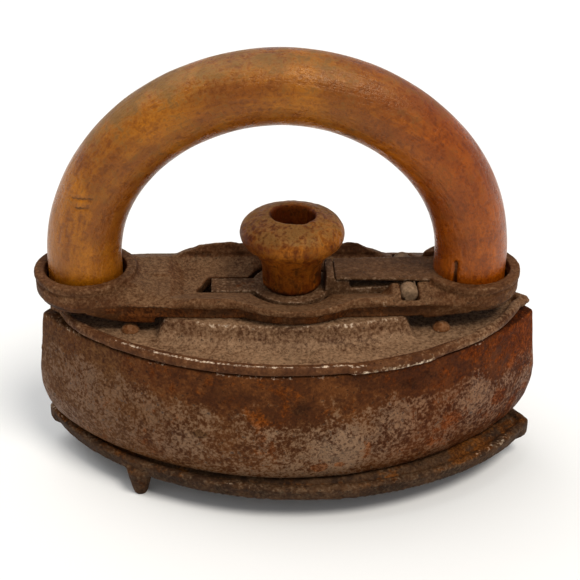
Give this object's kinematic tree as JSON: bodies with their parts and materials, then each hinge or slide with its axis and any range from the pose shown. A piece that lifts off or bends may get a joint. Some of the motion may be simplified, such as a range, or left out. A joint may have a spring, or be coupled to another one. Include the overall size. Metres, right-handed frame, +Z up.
{
  "type": "sad iron",
  "caption": "Double-pointed flat iron with a detachable bentwood handle and knob-lifted latch, sitting on a footed cast stand.",
  "frame": {"origin": "on the ground under the middle of the iron, at the centre of the overall footprint", "axes": "+X along the iron from its left point to its right point, the end with the latch's pivot pin; +Y across the iron, away from the side seen in the picture; +Z up"},
  "size_m": [0.1606, 0.0852, 0.1391],
  "materials": {
    "stand_iron": "rusted cast iron",
    "core_iron": "cast iron with worn, rusted plating",
    "plaster": "plaster",
    "cover_iron": "cast iron with worn plating",
    "rivet_iron": "rusted iron",
    "frame_iron": "brown patinated cast iron",
    "grip_wood": "worn varnished hardwood",
    "screw_iron": "iron",
    "spring_steel": "brown spring steel",
    "pin_iron": "iron",
    "latch_iron": "worn, rusted iron",
    "knob_wood": "worn turned hardwood",
    "stud_iron": "rusted iron",
    "washer_iron": "rusted iron",
    "nut_iron": "rusted iron"
  },
  "bodies": {
    "stand": {"stand": "stand_iron"},
    "iron": {"core_casting": "core_iron", "core_filling": "plaster", "top_cover": "cover_iron", "cover_rivets": "rivet_iron"},
    "handle": {"handle_frame": "frame_iron", "wooden_grip": "grip_wood", "grip_screws": "screw_iron", "latch_spring": "spring_steel", "latch_pin": "pin_iron"},
    "latch": {"latch_plate": "latch_iron", "wooden_knob": "knob_wood", "knob_stud": "stud_iron", "knob_washer": "washer_iron", "knob_nut": "nut_iron"}
  },
  "joints": [
    {"name": "iron_lift", "type": "slide", "parent": "stand", "child": "iron", "axis": [0, 0, 1], "range_m": [0, 0.06]},
    {"name": "handle_lift", "type": "slide", "parent": "iron", "child": "handle", "axis": [0, 0, 1], "range_m": [0, 0.06]},
    {"name": "latch_tilt", "type": "hinge", "parent": "handle", "child": "latch", "pos_m": [0.0363, 0, 0.0643], "axis": [0, 1, 0], "range_deg": [0, 9], "stiffness_Nm_per_rad": 0.6, "springref_deg": -5.73, "deforming": ["latch_spring"]}
  ]
}
